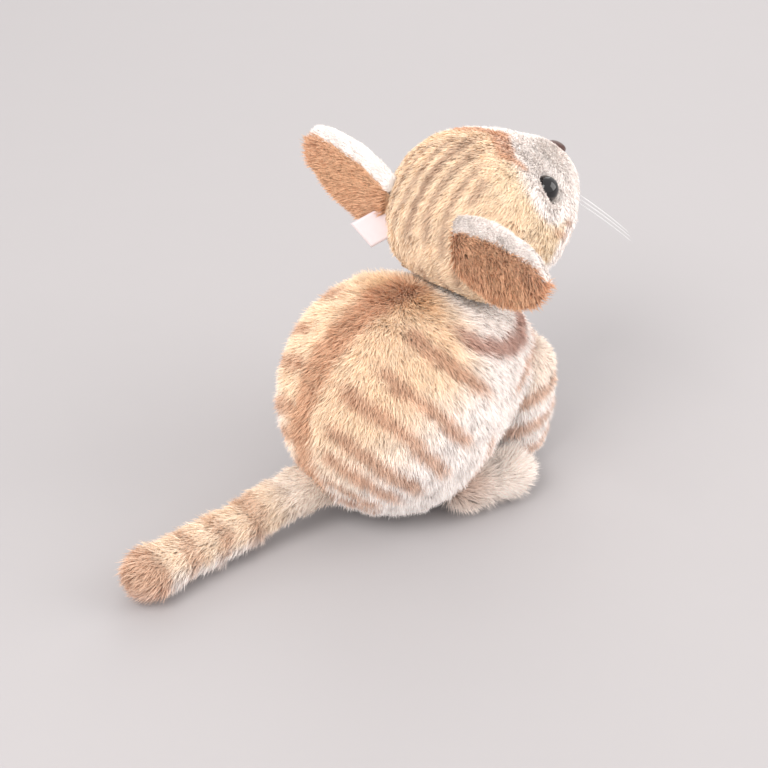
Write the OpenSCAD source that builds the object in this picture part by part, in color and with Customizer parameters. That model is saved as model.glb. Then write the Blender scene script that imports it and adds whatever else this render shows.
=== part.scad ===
// Seated plush cat, sewn from pile fabric panels over stuffing.
// Z is up, the cat faces -Y, its right side is -X. All sizes are in millimetres.

/* [Body] */
// radius of the haunches
body_r = 33; // [31:0.5:34]
// height of the centre of the haunches over the floor
body_z = 31.5; // [30:0.5:32]
// radius of the upper back
back_r = 30; // [28:0.5:31]
// radius of the chest
chest_r = 25; // [23:0.5:26]
// half width of the light belly panel
belly_w = 9; // [7:0.5:11]
// radius of a front leg
leg_r = 11.5; // [10:0.5:12]
// radius of a hind foot
foot_r = 8.6; // [7.6:0.2:9]

/* [Fabric] */
// thickness of backing and pressed pile together
skin = 2.4; // [1.8:0.1:3]
// play between the stuffing and the fabric around it
play = 0.1; // [0.05:0.05:0.3]

/* [Head] */
// radius of the head
head_r = 26; // [25:0.5:27]
// radius of the cheeks
cheek_r = 19.5; // [18:0.5:20]
// how far the face is tilted up, in degrees
head_pitch = 26; // [20:1:30]
// how far the face is turned to the cat's right, in degrees
head_yaw = 6; // [0:1:10]
// half width of the gusset strip over the crown
gusset_w = 8; // [6:0.5:10]
// diameter of the shiny eye button
eye_d = 7.8; // [7:0.2:9]

/* [Neck] */
// forward lean of the neck, in degrees from upright
neck_lean = 35; // [30:1:40]
// free gap between the head and the shoulders along the neck
neck_gap = 0.8; // [0.6:0.1:1.2]

/* [Ears] */
// length of an ear, from its root line to its tip
ear_len = 33; // [30:0.5:36]
// width of an ear at its widest
ear_wid = 25; // [22:0.5:27]
// thickness of an ear, both fabric layers together
ear_thk = 6.4; // [5:0.2:7]

/* [Tail] */
// thickness of the tail
tail_d = 14.4; // [13:0.2:15]
// length of the far part of the tail
tail_end_len = 39; // [34:0.5:44]

/* [Output] */
// which node to build

/* [Hidden] */
$fn = 48;

sand = [0.90, 0.80, 0.62];
cream = [0.96, 0.92, 0.86];
ginger = [0.74, 0.52, 0.34];
fill = [0.93, 0.93, 0.95];
black = [0.03, 0.03, 0.04];

head_c = [0, -35.5, 79.5];
neck_c = [0, -23.5, 62];
body_c = [0, -1.5, body_z];
back_c = [0, -3, 41];
chest_c = [0, -28, 35];
cheek_c = [0, -12.5, -5];
bridge_c = [0, -24.6, -5];
bridge_r = 9.4;
ear_root = [18.5, 19.5, 6.5];
tail_root = [7, 33.6, 12];
tail_bend = [10.5, 47, 8];
tail_turn = 5;
tail_base_len = norm(tail_bend - tail_root);
tail_r = tail_d / 2;
eye_at = [15.8, -16.2, 5.2];
eye_dir = [0.70, -0.66, 0.27];
ear_gap = 2;

// a ball with its poles at its sides
module ball(c, r) translate(c) rotate([0, 90, 0]) sphere(r = r);

// a ball with its poles at its front and back
module knob(c, r) translate(c) rotate([90, 0, 0]) sphere(r = r);

// a tube with round ends, from a to b
module pod(a, b, r) {
    d = b - a;
    translate(a) rotate([0, acos(d.z / norm(d)), atan2(d.y, d.x)]) {
        sphere(r = r);
        cylinder(h = norm(d), r = r);
        translate([0, 0, norm(d)]) sphere(r = r);
    }
}

// the other side of the cat
module other_side() mirror([1, 0, 0]) children();

// the half space under or over a level
module slab(lo, hi)
    translate([-120, -120, lo]) cube([240, 240, hi - lo]);

// everything under the neck seam, or everything over it
module neck_side(over)
    translate(neck_c) rotate([neck_lean, 0, 0])
        translate([-100, -100, over ? neck_gap / 2 : -200 - neck_gap / 2]) cube(200);

// ---------------------------------------------------------------- torso
module torso_blob(g = 0)
    union() {
        ball(body_c, body_r - g);
        ball(back_c, back_r - g);
        ball(chest_c, chest_r - g);
    }

// the fabric of the torso inside one box, with the neck and the seat open
module torso_patch(lo, size)
    intersection() {
        difference() {
            intersection() {
                torso_blob();
                translate(lo) cube(size);
            }
            torso_blob(skin);
        }
        neck_side(false);
    }

module body_side()
    difference() {
        torso_patch([0, -90, skin], [60, 160, 110]);
        translate([-belly_w, -90, -5]) cube([2 * belly_w, 70, 110]);
    }

module body_panel_left() color(sand) body_side();
module body_panel_right() color(sand) other_side() body_side();

module belly_panel()
    color(cream) torso_patch([-belly_w, -90, skin], [2 * belly_w, 70, 110]);

// the flat seat that the cat rests on
module base_panel()
    color(cream) intersection() {
        ball(body_c, body_r, $fn = 120);
        slab(0, skin);
    }

module body_stuffing()
    color(fill) intersection() {
        torso_blob(skin + play);
        slab(skin + play, 120);
        neck_side(false);
    }

// ---------------------------------------------------------------- legs
// the cat's left front leg, tucked under the chest
module leg(g = 0)
    intersection() {
        pod([15, -43, 33], [15, -38.5, 11], leg_r - g);
        slab(g, 120);
    }

// the cat's left hind foot, toes turned out
module foot(g = 0)
    intersection() {
        pod([22, -9, 8.2], [27.5, -23.5, 8.2], foot_r - g);
        slab(g, 60);
    }

module front_leg()
    difference() {
        leg();
        leg(skin);
        torso_blob();
    }

module front_leg_stuffing()
    difference() {
        leg(skin + play);
        torso_blob();
    }

module hind_foot()
    difference() {
        foot();
        foot(skin);
        ball(body_c, body_r);
        leg(-play);
    }

module hind_foot_stuffing()
    difference() {
        foot(skin + play);
        ball(body_c, body_r);
        leg(-play);
    }

module front_leg_left() color(sand) front_leg();
module front_leg_right() color(sand) other_side() front_leg();
module front_leg_stuffing_left() color(fill) front_leg_stuffing();
module front_leg_stuffing_right() color(fill) other_side() front_leg_stuffing();
module hind_foot_left() color(cream) hind_foot();
module hind_foot_right() color(cream) other_side() hind_foot();
module hind_foot_stuffing_left() color(fill) hind_foot_stuffing();
module hind_foot_stuffing_right() color(fill) other_side() hind_foot_stuffing();

// ---------------------------------------------------------------- head
module head_frame()
    translate(head_c) rotate([0, 0, -head_yaw]) rotate([-head_pitch, 0, 0]) children();

module head_blob(g = 0)
    union() {
        knob([0, 0, 0], head_r - g);
        knob(cheek_c, cheek_r - g);
        knob(bridge_c, bridge_r - g);
    }

// the fabric of the head inside one box of the head's frame
module head_patch(lo, size)
    difference() {
        intersection() {
            head_blob();
            translate(lo) cube(size);
        }
        head_blob(skin);
    }

muzzle_y = -20;
gusset_z = 4;

module eye_frame(side, d = 0)
    translate([side * eye_at.x, eye_at.y, eye_at.z])
        rotate([0, 0, side * atan2(eye_dir.x, -eye_dir.y)])
            rotate([90 - asin(eye_dir.z), 0, 0])
                translate([0, 0, d]) children();

// the dimple and the stem hole of each eye, and room for its washer inside
module eye_room()
    for (side = [-1, 1]) {
        eye_frame(side, -9) cylinder(h = 12, r = 1.15);
        eye_frame(side, -0.9) cylinder(h = 12, r = 4.4);
    }

module washer_room()
    for (side = [-1, 1])
        eye_frame(side, -6.4) cylinder(h = 1.9, r = 4.6);

module in_head()
    intersection() {
        head_frame() children();
        neck_side(true);
    }

// side and cheek of the head, its left side
module head_side()
    difference() {
        head_patch([0, muzzle_y, -60], [60, 100, 120]);
        translate([-gusset_w, -60, gusset_z]) cube([2 * gusset_w, 120, 60]);
        eye_room();
    }

module head_panel_left() color(sand) in_head() head_side();
module head_panel_right() color(sand) in_head() other_side() head_side();

// strip over the crown, from the bridge of the nose to the nape
module head_gusset()
    color(sand) head_frame() difference() {
        intersection() {
            ball([0, 0, 0], head_r);
            translate([-gusset_w, muzzle_y, gusset_z]) cube([2 * gusset_w, 100, 60]);
        }
        ball([0, 0, 0], head_r - skin);
    }

module muzzle_panel()
    color(cream) in_head() difference() {
        head_patch([-60, -60, -60], [120, 60 + muzzle_y, 120]);
        eye_room();
    }

module head_stuffing()
    color(fill) in_head() difference() {
        head_blob(skin + play);
        eye_room();
        washer_room();
    }

module eye(side)
    color(black) head_frame() {
        eye_frame(side, -0.8) intersection() {
            sphere(d = eye_d);
            translate([-10, -10, 0]) cube(20);
        }
        eye_frame(side, -8) cylinder(h = 7.2, r = 1);
    }

module eye_left() eye(1);
module eye_right() eye(-1);

module eye_washer(side)
    color([0.85, 0.85, 0.85]) head_frame() eye_frame(side, -6)
        difference() {
            cylinder(h = 1.1, r = 4.3);
            translate([0, 0, -1]) cylinder(h = 4, r = 1.05);
        }

module eye_washer_left() eye_washer(1);
module eye_washer_right() eye_washer(-1);

module nose()
    color([0.25, 0.14, 0.12]) head_frame()
        difference() {
            translate([-2.6, -33.2, -2.6]) rotate([0, 90, 0]) {
                sphere(r = 1.7);
                cylinder(h = 5.2, r = 1.7);
                translate([0, 0, 5.2]) sphere(r = 1.7);
            }
            knob(bridge_c, bridge_r);
        }

// three thread runs under the nose
module mouth_stitch()
    color([0.30, 0.18, 0.14]) head_frame()
        for (a = [0, 58, -58])
            translate([0, -33.9, -8.2]) rotate([0, a, 0]) rotate([18, 0, 0])
                translate([0, 0, a == 0 ? 0 : -4.2]) cylinder(h = a == 0 ? 3.4 : 4.2, r = 0.35);

module whiskers(side)
    color([0.95, 0.95, 0.95]) head_frame() difference() {
        for (i = [0, 1, 2])
            translate([side * 10.6, -26.4 + i * 0.5, -9 - i * 1.5])
                rotate([0, 0, side * (84 - 4 * i)]) rotate([108 + 6 * i, 0, 0])
                    cylinder(h = 20, r = 0.2);
        knob(cheek_c, cheek_r + 0.02);
        knob(bridge_c, bridge_r + 0.02);
    }

module whiskers_left() whiskers(1);
module whiskers_right() whiskers(-1);

// blank satin tag, sewn into the seam behind the left ear and standing off the head
tag_at = [16.3, -15.2, 79.3];
tag_out = [0.417, 0.821, -0.392];
tag_along = [-0.779, -0.155, -0.607];
module label_tag() {
    n = cross(tag_out, tag_along);
    color([0.95, 0.90, 0.92]) difference() {
        multmatrix([[tag_out.x, tag_along.x, n.x, tag_at.x],
                    [tag_out.y, tag_along.y, n.y, tag_at.y],
                    [tag_out.z, tag_along.z, n.z, tag_at.z]])
            translate([0.3, -4.5, -0.18]) cube([7.9, 9, 0.36]);
        translate(head_c) sphere(r = head_r + 0.02);
    }
}

// ---------------------------------------------------------------- ears
// ear frame: X runs from the root out to the tip, Y is through the ear, Z is along the root line
module ear_frame(side)
    translate([side * ear_root.x, head_c.y + ear_root.y, head_c.z + ear_root.z])
        mirror([side > 0 ? 0 : 1, 0, 0]) rotate([0, -8, 0]) rotate([0, 0, 3]) children();

// a crowned leaf: two wide balls give its faces, two round walls its outline
module ear_leaf() {
    $fn = 200;
    half = ear_len / 2 + 2;
    ball_r = (pow(half + 1, 2) + pow(ear_thk / 2, 2)) / ear_thk;
    wall_r = (pow(half, 2) + pow(ear_wid / 2, 2)) / ear_wid;
    translate([ear_len / 2 - 2, 0, 0]) intersection() {
        translate([0, ball_r - ear_thk / 2, 0]) sphere(r = ball_r);
        translate([0, ear_thk / 2 - ball_r, 0]) sphere(r = ball_r);
        translate([0, 20, wall_r - ear_wid / 2]) rotate([90, 0, 0]) cylinder(h = 40, r = wall_r, $fn = 96);
        translate([0, 20, ear_wid / 2 - wall_r]) rotate([90, 0, 0]) cylinder(h = 40, r = wall_r, $fn = 96);
    }
}

module ear_half(side, back)
    difference() {
        head_turned() ear_frame(side) intersection() {
            ear_leaf();
            translate([-20, back ? 0 : -20, -40]) cube([80, 20, 80]);
        }
        translate(head_c) sphere(r = head_r + ear_gap);
    }

// the turn of the head about its upright line
module head_turned()
    translate(head_c) rotate([0, 0, -head_yaw]) translate(-head_c) children();

module ear_outer_left() color(ginger) ear_half(1, true);
module ear_inner_left() color(cream) ear_half(1, false);
module ear_outer_right() color(ginger) ear_half(-1, true);
module ear_inner_right() color(cream) ear_half(-1, false);

// ---------------------------------------------------------------- tail
// near part: from the ball at the root down to the bend on the floor
module tail_near_frame()
    translate(tail_root)
        rotate([0, 0, -atan2(tail_bend.x - tail_root.x, tail_bend.y - tail_root.y)])
            rotate([asin((tail_bend.z - tail_root.z) / tail_base_len), 0, 0])
                rotate([-90, 0, 0]) children();

// far part: level along the floor, Z of this frame runs towards the tip
module tail_far_frame()
    translate(tail_bend) rotate([0, 0, -tail_turn]) rotate([-90, 0, 0]) children();

lift = 40;
module tail_near(g = 0)
    difference() {
        tail_near_frame() union() {
            sphere(r = tail_r - 0.2 - g);
            cylinder(h = tail_base_len, r = tail_r - 0.2 - g);
        }
        translate(tail_bend) sphere(r = tail_r + 0.4);
        translate(tail_bend) rotate([0, 0, -tail_turn]) rotate([lift, 0, 0])
            translate([-20, -0.4, -20]) cube(40);
        translate(tail_bend) rotate([0, 0, -tail_turn]) translate([-20, -0.4, -20]) cube(40);
    }

module tail_root_skin()
    color(sand) difference() {
        tail_near();
        tail_near(skin);
    }

module tail_root_stuffing() color(fill) tail_near(skin + play);

module tail_far(g = 0)
    tail_far_frame() union() {
        sphere(r = tail_r - g);
        cylinder(h = tail_end_len - tail_r, r = tail_r - g);
        translate([0, 0, tail_end_len - tail_r]) sphere(r = tail_r - g);
    }

module tail_end_skin()
    color(sand) difference() {
        tail_far();
        tail_far(skin);
    }

module tail_end_stuffing() color(fill) tail_far(skin + play);

// ---------------------------------------------------------------- output
body_panel_left();
body_panel_right();
belly_panel();
base_panel();
body_stuffing();
front_leg_left();
front_leg_right();
front_leg_stuffing_left();
front_leg_stuffing_right();
hind_foot_left();
hind_foot_right();
hind_foot_stuffing_left();
hind_foot_stuffing_right();
head_gusset();
head_panel_left();
head_panel_right();
muzzle_panel();
head_stuffing();
eye_left();
eye_right();
eye_washer_left();
eye_washer_right();
nose();
mouth_stitch();
whiskers_left();
whiskers_right();
label_tag();
ear_outer_left();
ear_inner_left();
ear_outer_right();
ear_inner_right();
tail_root_skin();
tail_root_stuffing();
tail_end_skin();
tail_end_stuffing();
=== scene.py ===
"""Plush cat: sewn pile panels over stuffing, with shiny eyes, whiskers and a blank satin tag."""

import math

import bmesh
import bpy
import numpy as np
from bpy.props import FloatProperty, FloatVectorProperty, IntProperty, PointerProperty
from mathutils import Matrix, Vector


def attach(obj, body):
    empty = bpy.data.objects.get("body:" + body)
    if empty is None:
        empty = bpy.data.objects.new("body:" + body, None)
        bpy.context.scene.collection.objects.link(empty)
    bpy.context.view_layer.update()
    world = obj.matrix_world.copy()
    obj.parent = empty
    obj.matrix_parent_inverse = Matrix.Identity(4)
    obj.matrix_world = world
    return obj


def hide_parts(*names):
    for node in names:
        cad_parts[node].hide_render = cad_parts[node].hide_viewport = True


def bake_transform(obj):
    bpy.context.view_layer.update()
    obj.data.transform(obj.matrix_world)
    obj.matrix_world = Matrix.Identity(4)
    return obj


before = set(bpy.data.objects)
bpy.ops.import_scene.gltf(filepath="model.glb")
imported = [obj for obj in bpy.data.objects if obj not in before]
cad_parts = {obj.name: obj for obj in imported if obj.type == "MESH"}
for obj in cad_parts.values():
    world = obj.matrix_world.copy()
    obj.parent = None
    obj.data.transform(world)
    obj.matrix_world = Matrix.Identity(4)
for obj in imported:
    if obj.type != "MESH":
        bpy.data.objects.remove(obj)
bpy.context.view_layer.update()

bl_info = {
    "name": "Plush cat",
    "version": (1, 0, 0),
    "blender": (4, 5, 0),
    "location": "View3D > Sidebar > Plush cat",
    "description": "Builds a small sitting plush cat with striped cut pile",
    "category": "Object",
}

MM = 0.001


# ------------------------------------------------------------------ settings
def length_prop(name, text, default):
    return FloatProperty(name=name, description=text, default=default, unit="LENGTH", precision=5)


def colour_prop(name, text, default):
    return FloatVectorProperty(
        name=name, description=text, default=default, subtype="COLOR", size=3, min=0, max=1
    )


def angle_prop(name, text, degrees):
    return FloatProperty(name=name, description=text, default=math.radians(degrees), subtype="ANGLE")


def strength_prop(name, text, default):
    return FloatProperty(name=name, description=text, default=default, min=0)


class CatPile(bpy.types.PropertyGroup):
    """How the cut pile of each panel grows"""

    density: FloatProperty(
        name="Density", description="Fibre tufts on a square millimetre", default=13.0, min=1, max=30
    )
    width: length_prop("Tuft width", "Width of one tuft of fibres at its root", 0.00030)
    body_length: length_prop("Body pile", "Length of the pile on the torso", 0.0046)
    leg_length: length_prop("Leg pile", "Length of the pile on the front legs", 0.0038)
    foot_length: length_prop("Foot pile", "Length of the pile on the hind feet", 0.0056)
    head_length: length_prop("Head pile", "Length of the pile on the head", 0.0027)
    ear_back_length: length_prop("Ear back pile", "Length of the pile on the backs of the ears", 0.0036)
    ear_front_length: length_prop("Ear lining pile", "Length of the short lining pile", 0.0017)
    tail_length: length_prop("Tail pile", "Length of the pile on the tail", 0.0056)
    seed: IntProperty(name="Seed", description="Start of the random scatter", default=7)


class CatCoat(bpy.types.PropertyGroup):
    """Colours of the printed pile"""

    cream: colour_prop("Cream", "Ground colour of the back and the crown", (0.95, 0.76, 0.57))
    white: colour_prop("White", "Face, belly and flanks", (0.98, 0.92, 0.89))
    sand: colour_prop("Sand", "Cheek patches", (0.93, 0.77, 0.58))
    ginger: colour_prop("Ginger", "Stripe down the spine and the ear backs", (0.74, 0.44, 0.28))
    gold: colour_prop("Gold", "Warm patch behind the neck", (0.82, 0.53, 0.29))
    bar: colour_prop("Bars", "Bars across the flanks and the legs", (0.66, 0.40, 0.27))
    streak: colour_prop("Streaks", "Fine streaks over the crown", (0.52, 0.34, 0.24))
    tip: colour_prop("Dark tips", "Scattered dark fibre tips", (0.10, 0.045, 0.022))


class CatStage(bpy.types.PropertyGroup):
    """Floor, lights and camera"""

    azimuth: angle_prop("Azimuth", "Camera direction round the cat", 225)
    elevation: angle_prop("Elevation", "Camera height angle", 36)
    distance: length_prop("Distance", "From the camera to the point it looks at", 0.48)
    view_angle: angle_prop("View angle", "Width of the view", 26)
    floor: colour_prop("Floor", "Colour of the plain floor", (0.44, 0.42, 0.43))
    key_power: strength_prop("Key light", "Power of the key light in watts", 4.4)
    ambient: strength_prop("Ambient", "Strength of the light from all round", 1.0)


# ------------------------------------------------------------------ shapes, in millimetres
def turned(x=0.0, y=0.0, z=0.0):
    """Turn about X, then Y, then Z, in degrees."""
    spin = Matrix.Rotation(math.radians(z), 3, "Z") @ Matrix.Rotation(math.radians(y), 3, "Y")
    return np.array(spin @ Matrix.Rotation(math.radians(x), 3, "X"))


NECK = np.array([0.0, -23.5, 62.0])
NECK_UP = np.array([0.0, -math.sin(math.radians(35)), math.cos(math.radians(35))])
HEAD = np.array([0.0, -35.5, 79.5])
HEAD_TURN = turned(z=-6) @ turned(x=-26)
TORSO_HEART = np.array([0.0, -10.0, 33.0])
TAIL_ROOT = np.array([7.0, 33.6, 12.0])
TAIL_BEND = np.array([10.5, 47.0, 8.0])
TAIL_WAY = np.array([math.sin(math.radians(5)), math.cos(math.radians(5)), 0.0])
TAIL_END_LENGTH = 39.0
# how far the backing fabric lies inside the outline of the pile
TORSO_INSET, HEAD_INSET, LEG_INSET, FOOT_INSET = 2.6, 1.5, 2.3, 4.1


def from_head(p):
    """Points of the head's own frame, forward -Y, in the shared frame."""
    return HEAD + np.asarray(p, float) @ HEAD_TURN.T


def to_head(p):
    return (np.asarray(p, float) - HEAD) @ HEAD_TURN


def ellipsoid(p, centre, radii):
    q = (p - np.array(centre, float)) / np.array(radii, float)
    k = np.linalg.norm(q, axis=1)
    g = np.linalg.norm(q / np.array(radii, float), axis=1)
    return k * (k - 1) / np.maximum(g, 1e-9)


def pod(p, a, b, r):
    a, b = np.array(a, float), np.array(b, float)
    t = np.clip(((p - a) @ (b - a)) / ((b - a) @ (b - a)), 0, 1)
    return np.linalg.norm(p - a - t[:, None] * (b - a), axis=1) - r


def melt(a, b, k):
    """Smooth union of two distances."""
    h = np.clip(0.5 + 0.5 * (b - a) / k, 0, 1)
    return b + (a - b) * h - k * h * (1 - h)


def step(x, lo, hi):
    t = np.clip((x - lo) / (hi - lo), 0, 1)
    return t * t * (3 - 2 * t)


def torso_field(p):
    back = ellipsoid(p, (0, -2, 34.2), (32.5, 34.2, 36.8))
    chest = ellipsoid(p, (0, -29, 34), (24, 25, 28))
    return melt(back, chest, 9)


def skull_field(q):
    """The head in its own frame."""
    skull = ellipsoid(q, (0, 0, 0.4), (26.6, 26, 25.8))
    cheeks = ellipsoid(q, (0, -12.5, -5), (21.5, 19.5, 19))
    bridge = ellipsoid(q, (0, -24.2, -6), (11, 9.8, 9.6))
    d = melt(melt(skull, cheeks, 6), bridge, 7)
    for side in (-1, 1):
        socket = ellipsoid(q, (side * 19.2, -19.4, 6.4), (5.4, 5.4, 5.2))
        d = -melt(-d, socket, 2.5)
    return d


def head_field(p):
    return skull_field(to_head(p))


def leg_field(p, side):
    top = step(p[:, 2], 18, 42)
    return pod(p, (side * 15, -43, 33), (side * 15, -38.5, 11), 11.5) + 2.6 * top


def foot_field(p, side):
    return pod(p, (side * 22, -9, 8.2), (side * 27.5, -23.5, 8.2), 8.6)


def ball_mesh(level):
    """Directions spread evenly over a ball, and its triangles."""
    bm = bmesh.new()
    bmesh.ops.create_icosphere(bm, subdivisions=level, radius=1)
    verts = np.array([v.co for v in bm.verts])
    faces = np.array([[v.index for v in f.verts] for f in bm.faces])
    bm.free()
    return verts / np.linalg.norm(verts, axis=1)[:, None], faces


def reach_out(centre, ways, field, inset):
    """Where rays from a centre meet the surface that lies inset inside a field's zero."""
    lo, hi = np.zeros(len(ways)), np.full(len(ways), 75.0)
    for _ in range(30):
        mid = (lo + hi) / 2
        inside = field(centre + ways * mid[:, None]) < -inset
        lo, hi = np.where(inside, mid, lo), np.where(inside, hi, mid)
    return centre + ways * lo[:, None]


def swell(centre, field, inset, level):
    """A stuffed shape's skin as points and triangles."""
    ways, faces = ball_mesh(level)
    return reach_out(centre, ways, field, inset), faces


def drape(path, centre, field, inset):
    """A line laid close to a skin, smoothed and dropped on to it."""
    path = np.asarray(path, float)
    fine = np.linspace(0, len(path) - 1, 5 * (len(path) - 1) + 1)
    path = np.stack([np.interp(fine, np.arange(len(path)), path[:, i]) for i in range(3)], 1)
    path[1:-1] = (path[:-2] + path[1:-1] + path[2:]) / 3
    ways = path - centre
    return reach_out(centre, ways / np.linalg.norm(ways, axis=1)[:, None], field, inset)


def on_torso(path):
    return drape(path, TORSO_HEART, torso_field, TORSO_INSET)


def on_head(path):
    return drape(path, np.zeros(3), skull_field, HEAD_INSET)


def over_neck(p):
    """Height over the neck seam."""
    return (p - NECK) @ NECK_UP


def from_neck_line(p):
    """Distance from the line that the head turns about."""
    return np.linalg.norm(p - NECK - over_neck(p)[:, None] * NECK_UP, axis=1)


def wedge(verts, faces, keep, centre):
    """The part of a closed skin in keep, closed by a fan to its centre. Also which faces are outer."""
    part = faces[keep]
    edges = {}
    for a, b, c in part.tolist():
        for e in ((a, b), (b, c), (c, a)):
            edges[e] = True
    rim = [e for e in edges if (e[1], e[0]) not in edges]
    used, back = np.unique(part, return_inverse=True)
    number = {int(v): i for i, v in enumerate(used)}
    fan = [[number[b], number[a], len(used)] for a, b in rim]
    made = np.vstack([back.reshape(part.shape), np.array(fan, int).reshape(-1, 3)])
    outer = np.arange(len(made)) < len(part)
    return np.vstack([verts[used], centre]), made, outer


def tube(path, radii, count):
    """A round skin along a path, its ends closed by points."""
    path = np.asarray(path, float)
    way = np.gradient(path, axis=0)
    way /= np.linalg.norm(way, axis=1)[:, None]
    side = np.cross(way, (0, 0, 1.0))
    side /= np.maximum(np.linalg.norm(side, axis=1), 1e-9)[:, None]
    up = np.cross(side, way)
    turn = np.linspace(0, 2 * math.pi, count, endpoint=False)
    ring = np.cos(turn)[None, :, None] * side[:, None] + np.sin(turn)[None, :, None] * up[:, None]
    verts = (path[:, None] + ring * np.asarray(radii)[:, None, None]).reshape(-1, 3)
    return np.vstack([verts, path[:1], path[-1:]]), loft_faces(len(path), count)


def loft_faces(rings, count):
    """Triangles between rings of points, with a cap point for each end after them."""
    faces = []
    first, last = rings * count, rings * count + 1
    for i in range(count):
        j = (i + 1) % count
        for r in range(rings - 1):
            a, b, c, d = r * count + i, r * count + j, (r + 1) * count + j, (r + 1) * count + i
            faces += [[a, b, c], [a, c, d]]
        faces += [[first, j, i], [last, (rings - 1) * count + i, (rings - 1) * count + j]]
    return np.array(faces)


def outward(verts, faces):
    """A closed skin's faces, turned over if they point inwards."""
    a, b, c = (verts[faces[:, i]] for i in range(3))
    return faces if np.sum(a * np.cross(b, c)) > 0 else faces[:, ::-1]


# ------------------------------------------------------------------ the printed coat
def near_path(p, path):
    """Distance from each point to a given line, and how far along it, 0 to 1."""
    path = np.asarray(path, float)
    best, along = np.full(len(p), 1e9), np.zeros(len(p))
    legs = len(path) - 1
    for i in range(legs):
        a, b = path[i], path[i + 1]
        t = np.clip(((p - a) @ (b - a)) / max((b - a) @ (b - a), 1e-9), 0, 1)
        d = np.linalg.norm(p - a - t[:, None] * (b - a), axis=1)
        closer = d < best
        best[closer], along[closer] = d[closer], ((i + t) / legs)[closer]
    return best, along


def ripple(p, size, seed):
    """A smooth uneven value from -1 to 1, for edges that wander."""
    rng = np.random.default_rng(seed)
    out = np.zeros(len(p))
    for _ in range(5):
        way = rng.normal(size=3)
        out += np.sin(p @ way / size + rng.uniform(0, 6.28))
    return out / 3


def stripe(p, path, wide, soft=1.4, taper=(0.0, 0.25)):
    """1 on a printed stripe, 0 away from it, narrowing at its ends."""
    d, t = near_path(p, path)
    shape = np.ones(len(p))
    if taper[0]:
        shape *= step(t, -0.05, taper[0])
    if taper[1]:
        shape *= step(1 - t, -0.05, taper[1])
    edge = wide * (0.6 + 0.4 * shape) + 0.22 * wide * ripple(p, 2.6, 11)
    return step(-d, -(edge + soft), -(edge - soft * 0.6)) * shape


def paint(colour, mask, over):
    return colour + (np.array(over, float) - colour) * np.clip(mask, 0, 1)[:, None]


def both(path):
    return [path, [(-x, y, z) for x, y, z in path]]


SPINE = [
    (0, -14, 69), (-1, -6, 71), (0, 7, 69), (1, 16, 64), (2, 22, 57),
    (3, 27, 47), (3, 31, 37), (1, 31, 26), (1, 28, 13),
]
BARS = [
    [(-11, 4, 67), (-18, 4, 64), (-26, -2, 56), (-28, -14, 43)],
    [(-12, 16, 61), (-18, 15, 57), (-26, 10, 50), (-32, 3, 40), (-32, -2, 34)],
    [(-6, 24, 56), (-13, 22, 52), (-23, 18, 46), (-31, 11, 33), (-31, 6, 26)],
    [(-5, 29, 45), (-12, 28, 41), (-18, 25, 37), (-27, 19, 27), (-29, 14, 19)],
    [(-5, 31, 36), (-12, 29, 32), (-20, 24, 25), (-25, 19, 16)],
    [(-4, 30, 26), (-12, 27, 20), (-18, 23, 13)],
    [(-4, 28, 17), (-11, 26, 12), (-16, 21, 6)],
]
BAR_WIDTHS = [2.0, 1.7, 1.9, 2.0, 1.9, 1.6, 1.5]
COLLAR = [(-16, -6, 66), (-22, -13, 59), (-21, -25, 52), (-20, -36, 50), (-13, -46, 51), (0, -51, 52)]
CHEST_STRIPE = [(-25, -31, 37), (-21, -42, 42), (-12, -50, 45)]
FLANK_FRONT = [(-30, -12, 30), (-31, -12, 20), (-31, -6, 10)]


def torso_coat(p, c):
    x, y, z = p.T
    side = np.abs(x)
    high = step(z + 0.55 * y - 0.32 * side + 2.0 * ripple(p, 9, 3), 30, 56)
    rear = step(y, 12, 28) * step(z, 12, 36) * step(-side, -22, -9)
    colour = paint(np.tile(c.white, (len(p), 1)), np.maximum(high * step(y, -20, -4), 0.8 * rear), c.cream)
    gold = step(-np.linalg.norm((p - (-1, -5, 70)) / (1.5, 1.0, 1), axis=1), -11, -3)
    colour = paint(colour, 0.7 * gold, c.gold)
    tips = 0.04 + 0.2 * gold
    for path, wide in zip(BARS, BAR_WIDTHS):
        for line in both(path):
            mark = stripe(p, on_torso(line), wide, 1.5, (0.12, 0.2))
            colour = paint(colour, 0.8 * mark, c.bar)
            tips = np.maximum(tips, 0.3 * mark)
    for line in both(COLLAR):
        mark = stripe(p, on_torso(line), 2.2, 1.5, (0.15, 0))
        colour = paint(colour, 0.8 * mark, np.array(c.bar) * (0.82, 0.74, 0.84))
        tips = np.maximum(tips, 0.5 * mark)
    for line in both(CHEST_STRIPE):
        colour = paint(colour, 0.7 * stripe(p, on_torso(line), 1.3, 1.3), c.bar)
    for line in both(FLANK_FRONT):
        colour = paint(colour, 0.45 * stripe(p, on_torso(line), 1.4, 2.0), c.bar)
    mark = stripe(p, on_torso(SPINE), 3.7, 2.0, (0.14, 0))
    colour = paint(colour, 0.85 * mark, c.ginger)
    return colour, np.maximum(tips, 0.4 * mark)


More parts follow.
